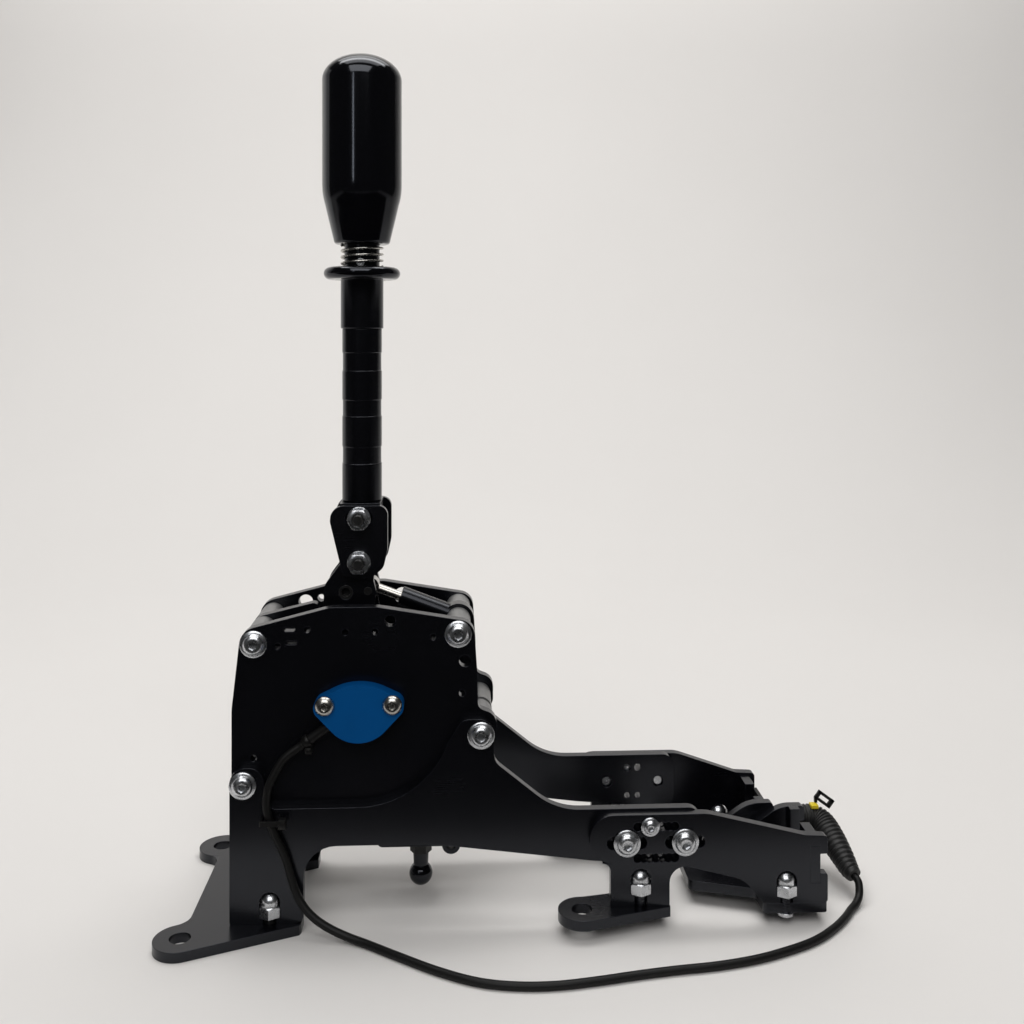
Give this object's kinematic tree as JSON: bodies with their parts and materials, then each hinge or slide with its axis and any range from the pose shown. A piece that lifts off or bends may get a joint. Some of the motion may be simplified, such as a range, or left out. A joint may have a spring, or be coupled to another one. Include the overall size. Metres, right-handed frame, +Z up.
{
  "type": "sim racing gear shifter",
  "caption": "Sequential gear shifter for a driving rig: knob and lever on a sprung rocker in a plate-built box, with foot plates, rear brackets and a sensor cord",
  "frame": {"origin": "middle of the box round the part without its cord, on the floor under the front foot", "axes": "+X from the front foot to the rear brackets, +Y across the width, +Z up"},
  "size_m": [0.3613, 0.1559, 0.4475],
  "materials": {
    "plate_black": "satin black anodised plate, laser-cut edges",
    "alu": "turned, bare",
    "tube_black": "satin black",
    "zinc": "zinc plated",
    "black_steel": "black oxide",
    "steel": "bright steel",
    "bronze": "sintered bronze",
    "badge_blue": "blue, smooth",
    "plastic_black": "matt black",
    "board": "circuit board",
    "rubber_black": "matt black",
    "ring_yellow": "yellow",
    "gloss_black": "polished black"
  },
  "bodies": {
    "base": {"front_foot": "plate_black", "arm_near": "plate_black", "arm_far": "plate_black", "side_plate_near": "plate_black", "side_plate_far": "plate_black", "inner_plate": "plate_black", "standoffs": "tube_black", "box_bolts": "zinc", "box_nuts": "zinc", "badge": "badge_blue", "sensor_housing": "badge_blue", "badge_screws": "steel", "sensor_board": "board", "bushes": "bronze", "stop_pin": "steel", "buffers": "rubber_black", "stop_block": "plate_black", "front_bolts": "black_steel", "foot_nuts": "zinc", "bracket_near": "plate_black", "bracket_far": "plate_black", "bracket_bolts": "zinc", "index_screws": "zinc", "mid_foot": "plate_black", "rear_plate": "plate_black", "rib_near": "plate_black", "rib_far": "plate_black", "end_plate_near": "plate_black", "end_plate_far": "plate_black", "rear_bolts": "zinc", "socket": "plastic_black", "cord": "rubber_black", "cord_sleeve": "rubber_black", "cable_ties": "plastic_black", "plug": "plastic_black", "plug_tab": "ring_yellow", "plug_tag": "plastic_black", "boot": "rubber_black"},
    "lever": {"axle": "steel", "magnet": "steel", "hub_spacers": "alu", "rocker_near": "plate_black", "rocker_far": "plate_black", "clevis_near": "plate_black", "clevis_far": "plate_black", "rocker_pins": "steel", "clevis_bolt": "black_steel", "clevis_nut": "zinc"},
    "handle": {"handle_foot": "plate_black", "handle_tube": "tube_black", "clamp_bolt": "black_steel", "clamp_nut": "zinc", "knob": "gloss_black", "spring": "steel"},
    "lift_collar": {"collar": "gloss_black"},
    "strut_outer": {"strut_body": "tube_black"},
    "strut_inner": {"strut_rod": "steel"},
    "adjuster": {"adj_stem": "black_steel", "adj_knob": "gloss_black", "adj_tip": "rubber_black"}
  },
  "joints": [
    {"name": "lever_pivot", "type": "hinge", "parent": "base", "child": "lever", "pos_m": [-0.0695, 0, 0.11], "axis": [0, 1, 0], "range_deg": [-9, 9], "stiffness_Nm_per_rad": 30},
    {"name": "handle_tilt", "type": "hinge", "parent": "lever", "child": "handle", "pos_m": [-0.0705, 0, 0.1805], "axis": [0, 1, 0], "range_deg": [-8, 8]},
    {"name": "collar_lift", "type": "slide", "parent": "handle", "child": "lift_collar", "axis": [0, 0, 1], "range_m": [0, 0.005], "stiffness_N_per_m": 800, "springref_m": -0.004, "deforming": ["spring"]},
    {"name": "strut_swing", "type": "hinge", "parent": "base", "child": "strut_outer", "pos_m": [-0.01925, 0, 0.1467], "axis": [0, 1, 0], "range_deg": [-3.5, 3.5]},
    {"name": "strut_slide", "type": "slide", "parent": "strut_outer", "child": "strut_inner", "axis": [-0.9346, 0, 0.3556], "range_m": [-0.009, 0.009]},
    {"name": "adjuster_turn", "type": "hinge", "parent": "base", "child": "adjuster", "pos_m": [-0.0392, 0, 0.032], "axis": [0, 0, 1], "range_deg": [-180, 180]}
  ],
  "couplings": [
    {"joint": "strut_swing", "follows": "lever_pivot", "ratio": 0.32308},
    {"joint": "strut_slide", "follows": "lever_pivot", "m_per_rad": -0.052123}
  ]
}
